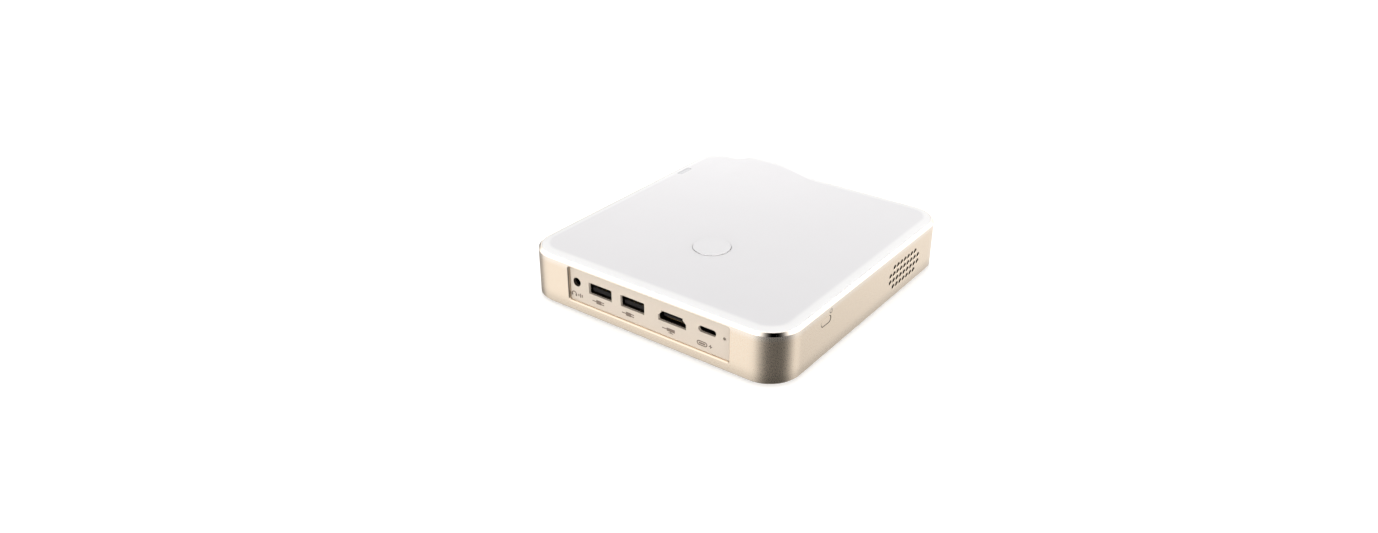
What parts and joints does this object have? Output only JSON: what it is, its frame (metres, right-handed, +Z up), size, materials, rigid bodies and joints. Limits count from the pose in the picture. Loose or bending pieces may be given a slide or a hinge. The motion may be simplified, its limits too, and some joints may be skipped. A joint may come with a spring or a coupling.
{
  "type": "mini pc",
  "caption": "Low square desktop computer: champagne metal band, white cover with a round light and a rear hump, port panel in front, grille and button on one side, blower-cooled board inside.",
  "frame": {"origin": "centre of the footprint, on the plane the four feet rest on", "axes": "+Z up; -Y out of the face with the ports; +X out of the side with the power button and the exhaust grille"},
  "size_m": [0.134, 0.142, 0.0282],
  "materials": {
    "white_cover": "satin white moulded plastic",
    "light_lens": "white translucent diffuser",
    "grey_window": "pale grey infrared window",
    "champagne_band": "champagne anodised, fine satin, polished chamfers",
    "port_plate": "pale champagne coating, fine grain",
    "base_plastic": "fine moulded texture",
    "foot_rubber": "matte",
    "screw_steel": "machined",
    "port_steel": "tin plated, folded",
    "sheet_steel": "rolled sheet",
    "spring_steel": "drawn wire",
    "black_plastic": "moulded",
    "chip_black": "moulded epoxy",
    "circuit_board": "solder mask over fine tracks",
    "gold_contact": "gold plated",
    "brass": "turned",
    "copper": "copper, satin",
    "fin_aluminium": "bare sheet",
    "can_aluminium": "drawn can",
    "thermal_pad": "soft silicone",
    "inductor_grey": "pressed ferrite powder",
    "magnet_black": "bonded ferrite",
    "cable_black": "extruded jacket",
    "flex_amber": "polyimide film over copper",
    "sintered_bronze": "sintered"
  },
  "bodies": {
    "case": {"top_cover": "white_cover", "light_disc": "light_lens", "sensor_window": "grey_window", "side_band": "champagne_band", "port_plate": "port_plate", "bottom_cover": "base_plastic", "rubber_feet": "foot_rubber", "case_screws": "screw_steel", "power_switch_board": "circuit_board", "power_switch_body": "black_plastic", "power_switch_cable": "flex_amber", "reset_switch_body": "black_plastic", "usb_port_shells": "port_steel", "usb_port_tongues": "black_plastic", "usb_port_contacts": "gold_contact", "video_port_shell": "port_steel", "video_port_tongue": "black_plastic", "type_c_port_shell": "port_steel", "type_c_port_tongue": "black_plastic", "audio_jack_body": "black_plastic", "audio_jack_collar": "port_steel", "mainboard": "circuit_board", "board_standoffs": "brass", "board_screws": "screw_steel", "processor": "chip_black", "thermal_pad": "thermal_pad", "cold_plate": "copper", "heat_pipe": "copper", "fin_stack": "fin_aluminium", "cooler_screws": "screw_steel", "cooler_springs": "spring_steel", "memory_chips": "chip_black", "controller_chips": "chip_black", "power_inductors": "inductor_grey", "capacitors": "can_aluminium", "infrared_sensor": "black_plastic", "battery_holder": "black_plastic", "clock_battery": "screw_steel", "ssd_module": "circuit_board", "ssd_socket": "black_plastic", "wifi_module": "circuit_board", "wifi_socket": "black_plastic", "module_standoffs": "brass", "module_screws": "screw_steel", "wifi_antennas": "flex_amber", "antenna_cables": "cable_black", "light_board": "circuit_board", "fan_housing": "black_plastic", "fan_cover": "sheet_steel", "fan_bearing": "sintered_bronze", "fan_stator": "sheet_steel", "fan_coils": "copper", "fan_cable": "cable_black", "fan_screws": "screw_steel"},
    "fan_rotor": {"fan_impeller": "black_plastic", "fan_shaft": "screw_steel", "fan_magnet": "magnet_black"},
    "power_button": {"power_button_cap": "champagne_band", "power_switch_plunger": "black_plastic"},
    "reset_button": {"reset_plunger": "black_plastic"}
  },
  "joints": [
    {"name": "fan_spin", "type": "hinge", "parent": "case", "child": "fan_rotor", "pos_m": [0.0265, 0.039, 0.0102], "axis": [0, 0, 1], "continuous": true},
    {"name": "power_button_press", "type": "slide", "parent": "case", "child": "power_button", "axis": [-1, 0, 0], "range_m": [0, 0.0005]},
    {"name": "reset_button_press", "type": "slide", "parent": "case", "child": "reset_button", "axis": [0, 1, 0], "range_m": [0, 0.0003]}
  ]
}
